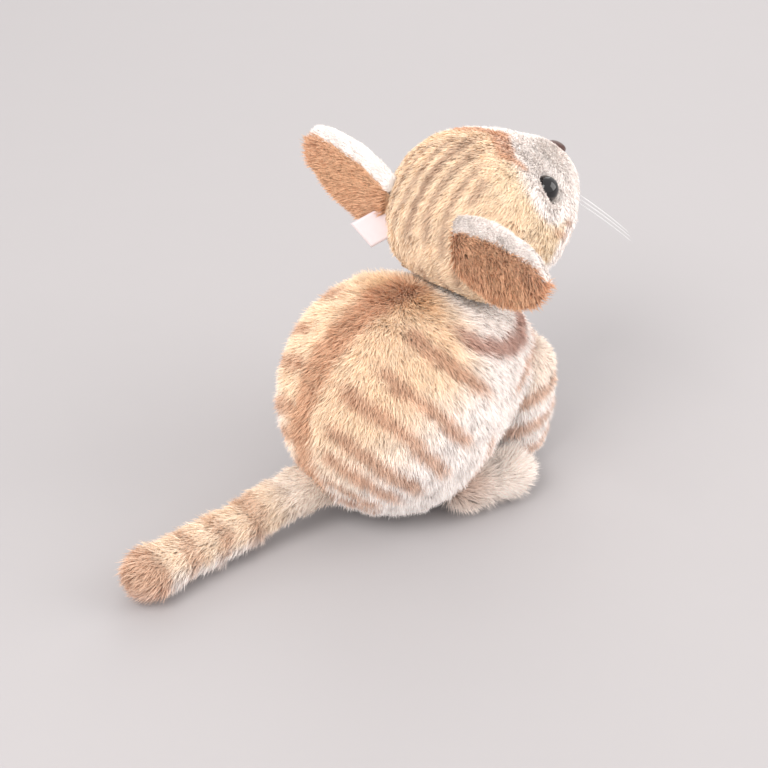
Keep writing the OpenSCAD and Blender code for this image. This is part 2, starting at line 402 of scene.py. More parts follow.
STREAKS = [
    ([(-1, -15, 21), (-1, -6, 25), (0, 6, 25), (0, 14, 22), (-1, 20, 16), (-1, 24, 9)], 0.9),
    ([(-5, -11, 23), (-5, -2, 25), (-5, 6, 25), (-5, 13, 22), (-7, 18, 17), (-8, 22, 11)], 1.0),
    ([(-9, -6, 23), (-10, 1, 24), (-10, 8, 22), (-11, 14, 18), (-12, 18, 13), (-12, 21, 8)], 0.9),
    ([(-13, -3, 22), (-14, 2, 22), (-14, 7, 21)], 1.2),
    ([(-15, 10, 18), (-16, 14, 14), (-16, 18, 9), (-16, 20, 2), (-14, 21, -5)], 0.9),
    ([(-5, 23, 8), (-6, 25, 0), (-6, 24, -8)], 0.9),
    ([(-11, 22, 5), (-12, 23, -2), (-11, 22, -9)], 0.8),
    ([(-1, 25, 3), (-1, 26, -4), (-1, 24, -11)], 0.8),
]
FOREHEAD = [(-9, -14, 21), (-5, -16, 20), (0, -19, 18)]
BROW = [(-10, -12, 21), (-13, -14, 18), (-16, -14, 15)]
CHEEK_STRIPES = [
    ([(-25, -9, 1), (-24, -12, -4), (-21, -14, -10)], 1.0),
    ([(-23, -15, -3), (-21, -18, -8)], 0.7),
]


def head_coat(p, c):
    q = to_head(p)
    x, y, z = q.T
    ax = np.abs(x)
    edge = -17 + 0.42 * ax + 0.9 * ripple(q, 3, 5)
    mask = step(-(y - edge), -1.5, 1.5) * step(z, 2, 8)
    from_eye = np.stack([x - np.sign(x) * 18, y + 15, z - 5], 1)
    round_eye = step(-np.linalg.norm(from_eye, axis=1), -9.5, -6.5)
    muzzle = np.maximum(step(-y, 14.5, 18.5), step(-z - 0.4 * y, 6, 12))
    colour = paint(np.tile(c.cream, (len(p), 1)), step(ax, 9, 18) * step(-y, -4, 6), c.sand)
    tips = 0.12 * step(z + y, -2, 12)
    for path, wide in STREAKS:
        for line in both(path):
            mark = stripe(q, on_head(line), wide, 0.9, (0.15, 0.25))
            colour = paint(colour, 0.6 * mark, c.streak)
            tips = np.maximum(tips, 0.25 * mark)
    colour = paint(colour, np.clip(mask + round_eye + muzzle, 0, 1), c.white)
    for line in both(FOREHEAD):
        colour = paint(colour, 0.8 * stripe(q, on_head(line), 2.2, 1.2, (0, 0)), c.ginger)
    for line in both(BROW):
        colour = paint(colour, 0.8 * stripe(q, on_head(line), 0.8, 0.8), c.ginger)
    for path, wide in CHEEK_STRIPES:
        for line in both(path):
            colour = paint(colour, 0.5 * stripe(q, on_head(line), wide, 1.0, (0.2, 0.3)), c.bar)
    return colour, tips


LEG_BANDS = ((29, 1.6), (20.5, 1.5), (12.5, 1.4))


def leg_coat(p, c):
    x, y, z = p.T
    colour = np.tile(c.white, (len(p), 1))
    colour = paint(colour, 0.35 * step(z, 22, 34), c.cream)
    side = step(np.abs(x) - 0.15 * (y + 45), 12, 18)
    for level, wide in LEG_BANDS:
        off = np.abs(z - level + 0.35 * (y + 42) + 0.8 * ripple(p, 3, 9))
        colour = paint(colour, 0.7 * step(-off, -(wide + 1.2), -(wide - 0.6)) * (0.35 + 0.65 * side), c.bar)
    return colour, 0.1 * np.ones(len(p))


def foot_coat(p, c):
    colour = np.tile(np.array(c.white) * 0.85 + np.array(c.cream) * 0.15, (len(p), 1))
    rear = step(p[:, 1], -16, -5) * step(p[:, 2], 3, 12)
    return paint(colour, 0.45 * rear, c.bar), 0.12 * np.ones(len(p))


TAIL_BANDS = ((45.5, 1.9), (56.5, 2.0), (67.5, 1.8))


def tail_coat(p, c):
    """Cream above and white below, with broken bands that fade down the sides."""
    x, y, z = p.T
    upper = step(z + 0.6 * ripple(p, 4, 19), 5.5, 10.5)
    colour = paint(np.tile(c.white, (len(p), 1)), 0.75 * upper * (0.5 + 0.5 * step(y, 34, 42)), c.cream)
    tips = 0.04 * np.ones(len(p))
    for place, wide in TAIL_BANDS:
        off = np.abs(y - place + 0.22 * (z - 8) + 1.1 * ripple(p, 2.5, 13))
        mark = step(-off, -(wide + 1.2), -(wide - 0.8)) * (0.25 + 0.75 * step(z, 3.5, 9))
        mark *= 0.72 + 0.28 * ripple(p, 1.8, 29)
        colour = paint(colour, 0.62 * mark, c.bar)
        tips = np.maximum(tips, 0.8 * mark * step(z, 8, 11.5))
    end = step(y + 0.8 * ripple(p, 2.5, 17), 74.5, 77.5)
    return paint(colour, 0.68 * end, c.bar), np.maximum(tips, 0.35 * end * step(z, 6, 12))


# ------------------------------------------------------------------ geometry nodes: the pile
def socket(tree, name, kind, out=False, default=None, text=""):
    put_in = "OUTPUT" if out else "INPUT"
    made = tree.interface.new_socket(name, in_out=put_in, socket_type=kind, description=text)
    if default is not None:
        made.default_value = default
    return made


class Net:
    """Short hand for adding nodes to a tree and joining them."""

    def __init__(self, tree):
        self.tree = tree
        self.nodes = tree.nodes

    def add(self, kind, inputs=None, **settings):
        n = self.nodes.new(kind)
        for key, value in settings.items():
            setattr(n, key, value)
        for key, value in (inputs or {}).items():
            target = n.inputs[key]
            if isinstance(value, bpy.types.NodeSocket):
                self.tree.links.new(value, target)
            else:
                target.default_value = value
        return n

    def maths(self, operation, a, b=0.0, clamp=False):
        return self.add("ShaderNodeMath", {0: a, 1: b}, operation=operation, use_clamp=clamp).outputs[0]

    def mul(self, a, b):
        return self.maths("MULTIPLY", a, b)

    def plus(self, a, b, clamp=False):
        return self.maths("ADD", a, b, clamp)

    def noise(self, where, scale, detail):
        return self.add("ShaderNodeTexNoise", {"Vector": where, "Scale": scale, "Detail": detail}).outputs

    def vector(self, operation, a, b=(0.0, 0.0, 0.0)):
        return self.add("ShaderNodeVectorMath", {0: a, 1: b}, operation=operation).outputs[0]

    def scaled(self, a, by):
        return self.add("ShaderNodeVectorMath", {0: a, 3: by}, operation="SCALE").outputs[0]

    def named(self, name, kind="FLOAT"):
        return self.add("GeometryNodeInputNamedAttribute", {"Name": name}, data_type=kind).outputs[0]

    def store(self, geometry, name, value):
        return self.add(
            "GeometryNodeStoreNamedAttribute",
            {"Geometry": geometry, "Name": name, "Value": value},
            data_type="FLOAT",
            domain="POINT",
        ).outputs[0]

    def random(self, lo, hi, seed, offset):
        seeded = self.plus(seed, offset)
        n = self.add("FunctionNodeRandomValue", {"Seed": seeded}, data_type="FLOAT")
        n.inputs[2].default_value, n.inputs[3].default_value = lo, hi
        return n.outputs[1]


def pile_tree():
    """Cut pile on a skin: tapered, curved tufts that lie along the skin's flow."""
    tree = bpy.data.node_groups.new("Cut pile", "GeometryNodeTree")
    for name, kind, default, text in (
        ("Skin", "Geometry", None, "Backing fabric with its flow, lift, pile and coat"),
        ("Density", "Float", 1e7, "Tufts on a square metre"),
        ("Length", "Float", 0.005, "Length of a tuft"),
        ("Width", "Float", 0.0003, "Width of a tuft at its root"),
        ("Lean", "Float", 0.5, "How far the pile lies down, 0 to 1"),
        ("Curl", "Float", 0.25, "How far a tuft bends over"),
        ("Ruffle", "Float", 0.5, "How uneven the pile lies"),
        ("Clump", "Float", 0.004, "Size of the clumps of pile"),
        ("Seed", "Int", 7, "Start of the random scatter"),
        ("Finish", "Material", None, "Finish of the pile"),
    ):
        socket(tree, name, "NodeSocket" + kind, default=default, text=text)
    socket(tree, "Pile", "NodeSocketGeometry", out=True)
    net = Net(tree)
    given = net.add("NodeGroupInput").outputs

    grid = net.add("GeometryNodeMeshGrid", {"Size X": 1.0, "Size Y": 1.0, "Vertices X": 2, "Vertices Y": 3})
    place = net.add("ShaderNodeSeparateXYZ", {0: net.add("GeometryNodeInputPosition").outputs[0]}).outputs
    rise = net.plus(place["Y"], 0.5)
    over = net.mul(net.maths("POWER", rise, 2.0), given["Curl"])
    narrow = net.maths("SUBTRACT", 1.0, net.maths("POWER", rise, 2.2))
    across = net.mul(net.mul(place["X"], -1.0), narrow)
    shaped = net.add("ShaderNodeCombineXYZ", {"X": over, "Y": across, "Z": rise})
    blade = net.add("GeometryNodeSetPosition", {"Geometry": grid.outputs[0], "Position": shaped.outputs[0]})
    blade = net.add("GeometryNodeMergeByDistance", {"Geometry": blade.outputs[0], "Distance": 0.001})
    height = net.add("ShaderNodeSeparateXYZ", {0: net.add("GeometryNodeInputPosition").outputs[0]})
    blade = net.store(blade.outputs[0], "along", height.outputs["Z"])

    dense = net.mul(given["Density"], net.named("pile"))
    seeds = net.add(
        "GeometryNodeDistributePointsOnFaces",
        {
            "Mesh": given["Skin"],
            "Selection": net.named("outer", "BOOLEAN"),
            "Density": dense,
            "Seed": given["Seed"],
        },
    )
    seeds = net.store(seeds.outputs[0], "tuft", net.random(0.0, 1.0, given["Seed"], 1.0))
    where = net.add("GeometryNodeInputPosition").outputs[0]
    clump = net.maths("DIVIDE", 1.0, given["Clump"])
    noise = net.noise(where, clump, 2.0)
    off_centre = net.vector("SUBTRACT", noise["Color"], (0.5, 0.5, 0.5))
    sway = net.scaled(off_centre, net.mul(given["Ruffle"], 2.2))
    stray_seed = net.plus(given["Seed"], 2.0)
    stray = net.add("FunctionNodeRandomValue", {"Seed": stray_seed}, data_type="FLOAT_VECTOR")
    stray.inputs[0].default_value, stray.inputs[1].default_value = (-1, -1, -1), (1, 1, 1)
    loose = net.scaled(stray.outputs[0], net.mul(given["Ruffle"], 0.42))
    flow, lift = net.named("flow", "FLOAT_VECTOR"), net.named("lift", "FLOAT_VECTOR")
    upright = net.scaled(lift, net.maths("SUBTRACT", 1.0, given["Lean"]))
    grow = net.vector("ADD", upright, net.scaled(flow, given["Lean"]))
    grow = net.vector("NORMALIZE", net.vector("ADD", grow, net.vector("ADD", sway, loose)))
    pose = net.add(
        "FunctionNodeAxesToRotation",
        {"Primary Axis": grow, "Secondary Axis": flow},
        primary_axis="Z",
        secondary_axis="X",
    )
    angle = net.random(-1.0, 1.0, given["Seed"], 3.0)
    twist = net.add("FunctionNodeAxisAngleToRotation", {"Angle": angle})
    pose = net.add(
        "FunctionNodeRotateRotation", {0: pose.outputs[0], 1: twist.outputs[0]}, rotation_space="LOCAL"
    )
    uneven = net.noise(where, net.mul(clump, 0.6), 1.0)
    tall = net.mul(given["Length"], net.named("reach"))
    tall = net.mul(tall, net.random(0.72, 1.08, given["Seed"], 4.0))
    tall = net.mul(tall, net.plus(net.mul(uneven["Fac"], 0.5), 0.75))
    wide = net.mul(given["Width"], net.random(0.7, 1.25, given["Seed"], 5.0))
    size = net.add("ShaderNodeCombineXYZ", {"X": tall, "Y": wide, "Z": tall})
    tufts = net.add(
        "GeometryNodeInstanceOnPoints",
        {
            "Points": seeds,
            "Instance": blade,
            "Rotation": pose.outputs[0],
            "Scale": size.outputs[0],
        },
    )
    joined = net.add("GeometryNodeJoinGeometry")
    tree.links.new(tufts.outputs[0], joined.inputs[0])
    tree.links.new(given["Skin"], joined.inputs[0])
    real = net.add("GeometryNodeRealizeInstances", {"Geometry": joined.outputs[0]})
    smooth = net.add("GeometryNodeSetShadeSmooth", {"Geometry": real.outputs[0]})
    done = net.add("GeometryNodeSetMaterial", {"Geometry": smooth.outputs[0], "Material": given["Finish"]})
    net.add("NodeGroupOutput", {0: done.outputs[0]})
    return tree


def shared(maker, name):
    """The node group or material of that name, made the first time it is asked for."""
    for store in (bpy.data.node_groups, bpy.data.materials):
        if name in store:
            return store[name]
    made = maker()
    made.name = name
    return made


def put(mesh, name, kind, domain, values):
    layer = mesh.attributes.new(name, kind, domain)
    key = {"FLOAT": "value", "BOOLEAN": "value", "FLOAT_VECTOR": "vector", "FLOAT_COLOR": "color"}[kind]
    layer.data.foreach_set(key, np.ascontiguousarray(values).ravel())


def along_skin(flow, lift):
    """The part of a direction that lies along the skin."""
    flat = flow - lift * np.sum(flow * lift, axis=1)[:, None]
    return flat / np.maximum(np.linalg.norm(flat, axis=1), 1e-6)[:, None]


def grow_pile(
    name, verts, faces, outer, flow, pile, reach, coat, tips, finish, length, lean,
    ruffle=0.5, curl=0.28, dense=1.0, wide=1.0, clump=0.004,
):
    """A stuffed piece: a closed skin with cut pile on its outer faces."""
    pile_set = bpy.context.scene.cat_pile
    faces = outward(verts, faces)
    mesh = bpy.data.meshes.new(name + "_skin")
    mesh.from_pydata((verts * MM).tolist(), [], faces.tolist())
    mesh.update()
    lift = np.zeros(len(verts) * 3)
    mesh.vertex_normals.foreach_get("vector", lift)
    lift = lift.reshape(-1, 3)
    put(mesh, "lift", "FLOAT_VECTOR", "POINT", lift)
    put(mesh, "flow", "FLOAT_VECTOR", "POINT", along_skin(flow, lift))
    put(mesh, "pile", "FLOAT", "POINT", pile)
    put(mesh, "reach", "FLOAT", "POINT", reach)
    put(mesh, "outer", "BOOLEAN", "FACE", outer)
    put(mesh, "coat", "FLOAT_COLOR", "POINT", np.hstack([coat, np.ones((len(coat), 1))]))
    put(mesh, "tips", "FLOAT", "POINT", tips)
    base = bpy.data.objects.new(name + "_skin", mesh)
    bpy.context.scene.collection.objects.link(base)
    tree = shared(pile_tree, "Cut pile")
    share = 1.0
    values = {
        "Density": pile_set.density * 1e6 * dense * share,
        "Length": length,
        "Width": pile_set.width * wide / math.sqrt(share),
        "Lean": lean,
        "Curl": curl,
        "Ruffle": ruffle,
        "Clump": clump,
        "Seed": pile_set.seed + len(name),
        "Finish": finish,
    }
    mod = base.modifiers.new("Pile", "NODES")
    mod.node_group = tree
    for item in tree.interface.items_tree:
        if item.item_type == "SOCKET" and item.in_out == "INPUT" and item.name in values:
            mod[item.identifier] = values[item.name]
    graph = bpy.context.evaluated_depsgraph_get()
    final = base.evaluated_get(graph)
    made = bpy.data.meshes.new_from_object(final, preserve_all_data_layers=True, depsgraph=graph)
    base.modifiers.clear()
    bpy.data.objects.remove(base)
    made.name = name
    place = np.zeros(len(made.vertices) * 3)
    made.vertices.foreach_get("co", place)
    place = place.reshape(-1, 3)
    place[:, 2] = np.maximum(place[:, 2], 0.00015)
    made.vertices.foreach_set("co", place.ravel())
    for spare in ("lift", "flow", "pile", "reach", "outer"):
        layer = made.attributes.get(spare)
        if layer:
            made.attributes.remove(layer)
    made.update()
    piece = bpy.data.objects.new(name, made)
    bpy.context.scene.collection.objects.link(piece)
    if not made.vertices:
        raise RuntimeError(f"{name} came out empty")
    print(f"{name}: {len(made.polygons)} faces")
    return piece


def plain_piece(name, verts, faces, finish, smooth=True):
    """A closed piece without pile."""
    bm = bmesh.new()
    made = [bm.verts.new(Vector(v) * MM) for v in np.asarray(verts, float)]
    for f in faces:
        bm.faces.new([made[i] for i in f])
    bmesh.ops.remove_doubles(bm, verts=bm.verts, dist=1e-6)
    bmesh.ops.recalc_face_normals(bm, faces=bm.faces)
    mesh = bpy.data.meshes.new(name)
    bm.to_mesh(mesh)
    bm.free()
    for p in mesh.polygons:
        p.use_smooth = smooth
    mesh.materials.append(finish)
    piece = bpy.data.objects.new(name, mesh)
    bpy.context.scene.collection.objects.link(piece)
    return piece


def seat(piece, body, slot, *nodes, fill=None):
    """Ride a body and stand for CAD nodes. The slot is not used."""
    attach(piece, body)
    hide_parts(*nodes)


# ------------------------------------------------------------------ finishes
def pile_colour_group():
    """Colour of a tuft from the printed coat: painted shade darkens it at the root and on the bare skin
    between tufts, painted light brightens it towards the tip, some tips dark.
    """
    tree = bpy.data.node_groups.new("Pile colour", "ShaderNodeTree")
    socket(tree, "Coat", "NodeSocketColor", default=(0.8, 0.7, 0.6, 1))
    socket(tree, "Along", "NodeSocketFloat", default=0.0)
    socket(tree, "Tuft", "NodeSocketFloat", default=0.5)
    socket(tree, "Tips", "NodeSocketFloat", default=0.1)
    socket(tree, "Root Depth", "NodeSocketFloat", default=0.6)
    socket(tree, "Tip Lift", "NodeSocketFloat", default=1.12)
    socket(tree, "Mottle Size", "NodeSocketFloat", default=0.006)
    socket(tree, "Tip Colour", "NodeSocketColor", default=(0.1, 0.05, 0.03, 1))
    socket(tree, "Colour", "NodeSocketColor", out=True)
    socket(tree, "Roughness", "NodeSocketFloat", out=True)
    net = Net(tree)
    given = net.add("NodeGroupInput").outputs
    where = net.add("ShaderNodeTexCoord").outputs["Object"]
    mottle = net.noise(where, net.maths("DIVIDE", 1.0, given["Mottle Size"]), 3.0)["Fac"]
    fine = net.noise(where, net.maths("DIVIDE", 4.5, given["Mottle Size"]), 2.0)["Fac"]
    # painted shade at the root of each tuft and on the skin, which reads along 0; painted light towards the
    # tip
    span = {0: given["Along"], 1: 0.0, 2: 0.75, 3: given["Root Depth"], 4: given["Tip Lift"]}
    root_shade_tip_light = net.add("ShaderNodeMapRange", span)
    root_shade_tip_light.interpolation_type = "SMOOTHSTEP"
    each = net.plus(net.mul(given["Tuft"], 0.26), 0.87)
    cloud = net.plus(net.mul(mottle, 0.30), 0.85)
    grain = net.plus(net.mul(fine, 0.24), 0.88)
    shade = net.mul(net.mul(root_shade_tip_light.outputs[0], each), net.mul(cloud, grain))
    lit = net.scaled(given["Coat"], shade)
    chance = net.maths("FRACT", net.mul(given["Tuft"], 37.7))
    picked = net.maths("GREATER_THAN", net.mul(given["Tips"], 0.36), chance)
    patchy = net.add("ShaderNodeMapRange", {0: fine, 1: 0.44, 2: 0.58})
    end = net.add("ShaderNodeMapRange", {0: given["Along"], 1: 0.45, 2: 0.85})
    dark = net.mul(net.mul(picked, patchy.outputs[0]), end.outputs[0])
    blend = {0: net.mul(dark, 0.8), 6: lit, 7: given["Tip Colour"]}
    mixed = net.add("ShaderNodeMix", blend, data_type="RGBA")
    rough = net.plus(net.mul(mottle, 0.2), 0.62)
    net.add("NodeGroupOutput", {0: mixed.outputs[2], 1: rough})
    return tree


def finish_of(name, shade):
    """The material of that name, made once. shade adds its nodes and gives back the shader."""

    def make():
        mat = bpy.data.materials.new(name)
        mat.use_nodes = True
        mat.node_tree.nodes.clear()
        net = Net(mat.node_tree)
        net.add("ShaderNodeOutputMaterial", {"Surface": shade(net).outputs[0]})
        return mat

    return shared(make, name)


def pile_finish(name, root, lift, mottle, sheen):
    """A pile material that reads the coat printed on its own piece. root is the painted shade at the tuft
    roots, lift the painted light towards the tips.
    """

    def shade(net):
        read = {}
        for key in ("coat", "along", "tuft", "tips"):
            n = net.add("ShaderNodeAttribute", attribute_name=key, attribute_type="GEOMETRY")
            read[key.title()] = n.outputs["Color" if key == "coat" else "Fac"]
        tip = (*bpy.context.scene.cat_coat.tip, 1)
        own = {"Root Depth": root, "Tip Lift": lift, "Mottle Size": mottle, "Tip Colour": tip}
        tree = shared(pile_colour_group, "Pile colour")
        group = net.add("ShaderNodeGroup", {**read, **own}, node_tree=tree).outputs
        return net.add("ShaderNodeBsdfPrincipled", {
            "Base Color": group["Colour"],
            "Roughness": group["Roughness"],
            "Sheen Weight": sheen,
            "Sheen Roughness": 0.45,
            "Sheen Tint": (1.0, 0.93, 0.85, 1),
            "Specular IOR Level": 0.28,
        })

    return finish_of(name, shade)


# Numbers after the name: painted root shade, painted tip light, mottle size and sheen weight.
def striped_pile():
    return pile_finish("Striped pile", 0.90, 1.10, 0.006, 0.25)


def cream_pile():
    return pile_finish("Cream pile", 0.93, 1.08, 0.005, 0.28)


def ginger_pile():
    return pile_finish("Ginger pile", 0.80, 1.14, 0.004, 0.2)


def grain_group():
    """Fine moulded or flocked grain, its colour lighter where the grain stands up."""
    tree = bpy.data.node_groups.new("Fine grain", "ShaderNodeTree")
    socket(tree, "Colour", "NodeSocketColor", default=(0.5, 0.5, 0.5, 1))
    socket(tree, "Grain Size", "NodeSocketFloat", default=0.0004)
    socket(tree, "Colour Spread", "NodeSocketFloat", default=0.2)
    socket(tree, "Roughness", "NodeSocketFloat", default=0.4)
    socket(tree, "Roughness Spread", "NodeSocketFloat", default=0.1)
    socket(tree, "Colour", "NodeSocketColor", out=True)
    socket(tree, "Roughness", "NodeSocketFloat", out=True)
    socket(tree, "Height", "NodeSocketFloat", out=True)
    net = Net(tree)
    given = net.add("NodeGroupInput").outputs
    where = net.add("ShaderNodeTexCoord").outputs["Object"]
    noise = net.noise(where, net.maths("DIVIDE", 1.0, given["Grain Size"]), 4.0)["Fac"]
    centred = net.maths("SUBTRACT", noise, 0.5)
    tone = net.plus(net.mul(centred, given["Colour Spread"]), 1.0)
    rough = net.plus(given["Roughness"], net.mul(centred, given["Roughness Spread"]), clamp=True)
    net.add("NodeGroupOutput", {0: net.scaled(given["Colour"], tone), 1: rough, 2: noise})
    return tree


def grain(net, colour, size, spread, rough, rough_spread):
    """The grain group's outputs for one finish."""
    return net.add("ShaderNodeGroup", {
        "Colour": (*colour, 1),
        "Grain Size": size,
        "Colour Spread": spread,
        "Roughness": rough,
        "Roughness Spread": rough_spread,
    }, node_tree=shared(grain_group, "Fine grain")).outputs


def grained(name, colour, size, spread, rough, rough_spread, bump, coat=0.0, sheen=0.0):
    """A solid finish with fine grain in its colour, gloss and height."""

    def shade(net):
        group = grain(net, colour, size, spread, rough, rough_spread)
        height = {"Height": group["Height"], "Strength": bump, "Distance": size * 0.5}
        raised = net.add("ShaderNodeBump", height)
        return net.add("ShaderNodeBsdfPrincipled", {
            "Base Color": group["Colour"],
            "Roughness": group["Roughness"],
            "Normal": raised.outputs[0],
            "Coat Weight": coat,
            "Coat Roughness": 0.03,
            "Sheen Weight": sheen,
        })

    return finish_of(name, shade)


def satin():
    """Woven satin ribbon: fine ribs across the tag's own width and length."""

    def shade(net):
        uv = net.add("ShaderNodeUVMap", uv_map="Weave").outputs[0]
        warp, weft = (
            net.add(
                "ShaderNodeTexWave", {"Vector": uv, "Scale": ribs, "Distortion": 0.4}, bands_direction=way
            )
            for ribs, way in ((9.0, "X"), (7.0, "Y"))
        )
        weave = net.mul(warp.outputs["Fac"], weft.outputs["Fac"])
        group = grain(net, (0.86, 0.74, 0.76), 0.0012, 0.12, 0.36, 0.15)
        raised = net.add("ShaderNodeBump", {"Height": weave, "Strength": 0.25, "Distance": 0.00008})
        return net.add("ShaderNodeBsdfPrincipled", {
            "Base Color": net.scaled(group["Colour"], net.plus(net.mul(weave, 0.16), 0.9)),
            "Roughness": group["Roughness"],
            "Normal": raised.outputs[0],
            "Sheen Weight": 0.3,
        })

    return finish_of("Satin", shade)


# ------------------------------------------------------------------ the pieces
def coat_of(context):
    c = context.scene.cat_coat
    names = ("cream", "white", "sand", "ginger", "gold", "bar", "streak", "tip")
    return type("Coat", (), {k: tuple(getattr(c, k)) for k in names})


class CAT_OT_torso(bpy.types.Operator):
    """Stuffed torso: two side panels, the light belly panel and the flat seat"""

    bl_idname = "plush_cat.torso"
    bl_label = "Torso"

    def execute(self, context):
        s, c = context.scene.cat_pile, coat_of(context)
        verts, faces = swell(TORSO_HEART, torso_field, TORSO_INSET, 7)
        verts[:, 2] = np.maximum(verts[:, 2], 0.7)
        high = over_neck(verts) + 0.6
        verts -= NECK_UP * np.maximum(high, 0)[:, None]
        mid = verts[faces].mean(axis=1)
        seat_face = verts[faces][:, :, 2].max(axis=1) < 0.75
        belly = (np.abs(mid[:, 0]) < 9) & (mid[:, 1] < -20) & ~seat_face
        labels = np.where(seat_face, 3, np.where(belly, 2, np.where(mid[:, 0] > 0, 0, 1)))
        names = (
            ("body_panel_left", ("body_panel_left", "body_stuffing")),
            ("body_panel_right", ("body_panel_right",)),
            ("belly_panel", ("belly_panel",)),
            ("base_panel", ("base_panel",)),
        )
        for label, (name, nodes) in enumerate(names):
            v, f, outer = wedge(verts, faces, labels == label, TORSO_HEART)
            colour, tips = torso_coat(v, c)
            limbs = [field(v, side) for field in (leg_field, foot_field) for side in (1, -1)]
            hidden = np.minimum.reduce(limbs)
            crease = -over_neck(v) - 0.6
            open_part = np.maximum(step(crease, 0.1, 0.6), step(from_neck_line(v), 12.5, 14.5))
            pile = step(hidden, -5, -2) * open_part
            if name == "base_panel":
                pile = 0.35 * step(np.hypot(v[:, 0], v[:, 1] + 6), 8, 16)
                colour = np.tile(c.white, (len(v), 1))
            reach = (0.45 + 0.55 * step(crease, 0, 5)) * (0.7 + 0.3 * step(v[:, 2], 0, 8))
            flow = np.tile((0.0, 0.25, -1.0), (len(v), 1))
            flow[:, 0] += 0.25 * np.sign(v[:, 0]) * step(np.abs(v[:, 0]), 4, 14)
            piece = grow_pile(
                name, v, f, outer, flow, pile, reach, colour, tips,
                striped_pile(), s.body_length, 0.50, ruffle=0.50,
            )
            seat(piece, "torso", "striped_pile" if label < 2 else "cream_pile", *nodes, fill=0.9)
        return {"FINISHED"}


class CAT_OT_front_legs(bpy.types.Operator):
    """Stuffed front legs, tucked under the chest"""

    bl_idname = "plush_cat.front_legs"
    bl_label = "Front legs"

    def execute(self, context):
        s, c = context.scene.cat_pile, coat_of(context)
        for side, word in ((1, "left"), (-1, "right")):
            heart = np.array([side * 15, -41.0, 21.0])
            verts, faces = swell(heart, lambda p: leg_field(p, side), LEG_INSET, 5)
            verts[:, 2] = np.maximum(verts[:, 2], 0.7)
            colour, tips = leg_coat(verts, c)
            pile = step(torso_field(verts), -5.5, -3.5) * step(verts[:, 2], 0.6, 1.6)
            x, y, z = verts.T
            forward = -0.5 * step(-z, -12, -3)
            flow = np.stack([0.2 * (x - heart[0]) / 10, forward, -np.ones(len(verts))], 1)
            reach = 0.75 + 0.25 * step(verts[:, 2], 2, 12)
            piece = grow_pile(
                f"front_leg_{word}", verts, faces, np.ones(len(faces), bool),
                flow, pile, reach, colour, tips,
                striped_pile(), s.leg_length, 0.48, ruffle=0.45,
            )
            seat(piece, "torso", "striped_pile", f"front_leg_{word}", f"front_leg_stuffing_{word}", fill=0.9)
        return {"FINISHED"}


class CAT_OT_hind_feet(bpy.types.Operator):
    """Stuffed hind feet with long fluff, toes turned out"""

    bl_idname = "plush_cat.hind_feet"
    bl_label = "Hind feet"

    def execute(self, context):
        s, c = context.scene.cat_pile, coat_of(context)
        for side, word in ((1, "left"), (-1, "right")):
            heart = np.array([side * 25.0, -16.5, 7.6])
            verts, faces = swell(heart, lambda p: foot_field(p, side), FOOT_INSET, 5)
            verts[:, 2] = np.maximum(verts[:, 2], 0.7)
            colour, tips = foot_coat(verts, c)
            pile = step(torso_field(verts), -6, -3.5) * step(verts[:, 2], 0.6, 1.4)
            out, toes = verts - heart, -np.ones(len(verts))
            flow = np.stack([0.35 * side + 0.03 * out[:, 0], toes, 0.10 - 0.05 * out[:, 2]], 1)
            piece = grow_pile(
                f"hind_foot_{word}", verts, faces, np.ones(len(faces), bool),
                flow, pile, np.ones(len(verts)), colour, tips,
                cream_pile(), s.foot_length, 0.40, ruffle=0.85, clump=0.0045,
            )
            seat(piece, "torso", "cream_pile", f"hind_foot_{word}", f"hind_foot_stuffing_{word}", fill=0.85)
        return {"FINISHED"}


class CAT_OT_head(bpy.types.Operator):
    """Stuffed head: two side panels, the crown gusset and the muzzle panel"""

    bl_idname = "plush_cat.head"
    bl_label = "Head"

    def execute(self, context):
        s, c = context.scene.cat_pile, coat_of(context)
        verts, faces = swell(HEAD, head_field, HEAD_INSET, 7)
        low = 0.5 - over_neck(verts)
        verts += NECK_UP * np.maximum(low, 0)[:, None]
        mid = to_head(verts[faces].mean(axis=1))
        muzzle = mid[:, 1] < -20
        gusset = (np.abs(mid[:, 0]) < 8) & (mid[:, 2] > 4) & ~muzzle
        labels = np.where(muzzle, 3, np.where(gusset, 2, np.where(mid[:, 0] > 0, 0, 1)))
        names = (
            ("head_panel_left", ("head_panel_left", "head_stuffing")),
            ("head_panel_right", ("head_panel_right",)),
            ("head_gusset", ("head_gusset",)),
            ("muzzle_panel", ("muzzle_panel",)),
        )
        for label, (name, nodes) in enumerate(names):
            v, f, outer = wedge(verts, faces, labels == label, HEAD)
            colour, tips = head_coat(v, c)
            q = to_head(v)
            crease = over_neck(v) - 0.5
            eye = np.linalg.norm(np.abs(q) * (1, 0, 0) + q * (0, 1, 1) - (16.5, -17, 5.3), axis=1)
            nose = np.linalg.norm(q - (0, -34, -4), axis=1)
            open_part = np.maximum(step(crease, 0.1, 0.6), step(from_neck_line(v), 11.5, 13.5))
            pile = open_part * step(eye, 3.6, 4.4)
            face = step(-q[:, 1], 6, 22)
            reach = (0.5 + 0.5 * step(crease, 0, 4)) * (1 - 0.42 * face)
            reach *= (0.45 + 0.55 * step(eye, 4, 8)) * (0.5 + 0.5 * step(nose, 2, 8))
            flow = (q - (0, -36, -2)) @ HEAD_TURN.T
            piece = grow_pile(
                name, v, f, outer, flow, pile, reach, colour, tips,
                striped_pile(), s.head_length, 0.58, ruffle=0.34, clump=0.0035,
            )
            seat(piece, "head", "striped_pile" if label < 3 else "cream_pile", *nodes, fill=0.95)
        return {"FINISHED"}


def eye_place(side):
    """Seat and direction of an eye button, in the shared frame."""
    way = HEAD_TURN @ np.array([side * 0.70, -0.66, 0.27])
    return from_head([side * 15.8, -16.2, 5.2]), way / np.linalg.norm(way)


